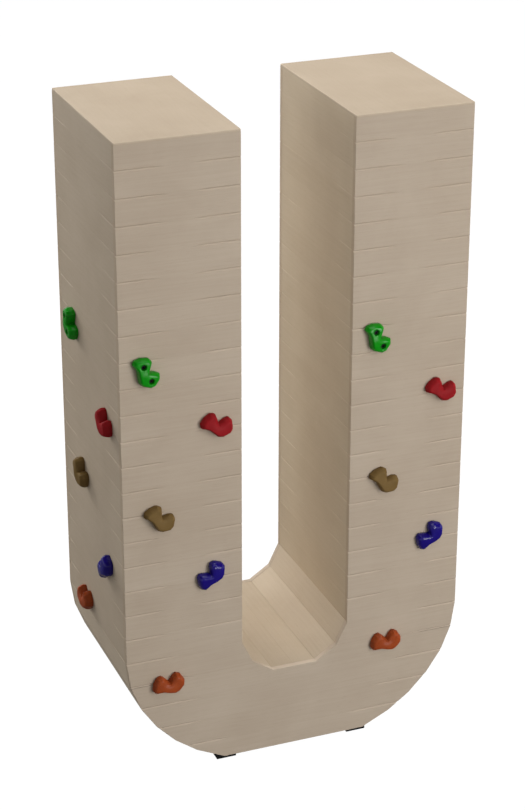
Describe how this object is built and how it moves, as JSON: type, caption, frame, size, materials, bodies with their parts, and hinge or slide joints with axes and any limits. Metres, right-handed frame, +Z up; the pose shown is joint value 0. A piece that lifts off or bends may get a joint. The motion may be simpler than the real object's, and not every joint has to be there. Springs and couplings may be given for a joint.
{
  "type": "free-standing climbing tower",
  "caption": "Free-standing U-shaped timber climbing tower: two hollow boarded legs on a rounded base, with bolt-on moulded holds and rubber feet.",
  "frame": {"origin": "on the floor, at the centre of the tower's width and depth", "axes": "+X to the right seen from the front, +Y from the front to the back, +Z up"},
  "size_m": [1.366, 0.754, 2.424],
  "materials": {
    "boards": "satin clear-coated pale timber with fine horizontal grain",
    "plywood": "sanded birch plywood",
    "framing": "planed softwood",
    "hold_green": "semi-gloss moulded resin",
    "hold_red": "matte moulded resin",
    "hold_brown": "matte moulded resin",
    "hold_blue": "gloss moulded resin",
    "hold_orange": "satin moulded resin",
    "steel": "zinc-plated",
    "rubber": "matte black"
  },
  "bodies": {
    "root": {"back_base_boards": "boards", "back_left_blue_hold": "hold_blue", "back_left_boards": "boards", "back_left_brown_hold": "hold_brown", "back_left_foot": "rubber", "back_left_green_hold": "hold_green", "back_left_orange_hold": "hold_orange", "back_left_red_hold": "hold_red", "back_right_blue_hold": "hold_blue", "back_right_boards": "boards", "back_right_brown_hold": "hold_brown", "back_right_foot": "rubber", "back_right_green_hold": "hold_green", "back_right_orange_hold": "hold_orange", "back_right_red_hold": "hold_red", "base_rib": "plywood", "bottom_panel": "plywood", "face_battens": "framing", "face_panels": "plywood", "foot_screws": "steel", "front_base_boards": "boards", "front_left_blue_hold": "hold_blue", "front_left_boards": "boards", "front_left_brown_hold": "hold_brown", "front_left_foot": "rubber", "front_left_green_hold": "hold_green", "front_left_orange_hold": "hold_orange", "front_left_red_hold": "hold_red", "front_right_blue_hold": "hold_blue", "front_right_boards": "boards", "front_right_brown_hold": "hold_brown", "front_right_foot": "rubber", "front_right_green_hold": "hold_green", "front_right_orange_hold": "hold_orange", "front_right_red_hold": "hold_red", "hold_front_bolts": "steel", "hold_rear_bolts": "steel", "hold_t_nuts": "steel", "inner_staves": "boards", "left_inner_boards": "boards", "left_outer_blue_hold": "hold_blue", "left_outer_boards": "boards", "left_outer_brown_hold": "hold_brown", "left_outer_green_hold": "hold_green", "left_outer_orange_hold": "hold_orange", "left_outer_red_hold": "hold_red", "left_outer_staves": "boards", "left_top_cap": "boards", "leg_posts": "framing", "leg_rails": "framing", "right_inner_boards": "boards", "right_outer_blue_hold": "hold_blue", "right_outer_boards": "boards", "right_outer_brown_hold": "hold_brown", "right_outer_green_hold": "hold_green", "right_outer_orange_hold": "hold_orange", "right_outer_red_hold": "hold_red", "right_outer_staves": "boards", "right_top_cap": "boards", "side_panels": "plywood"}
  },
  "joints": []
}
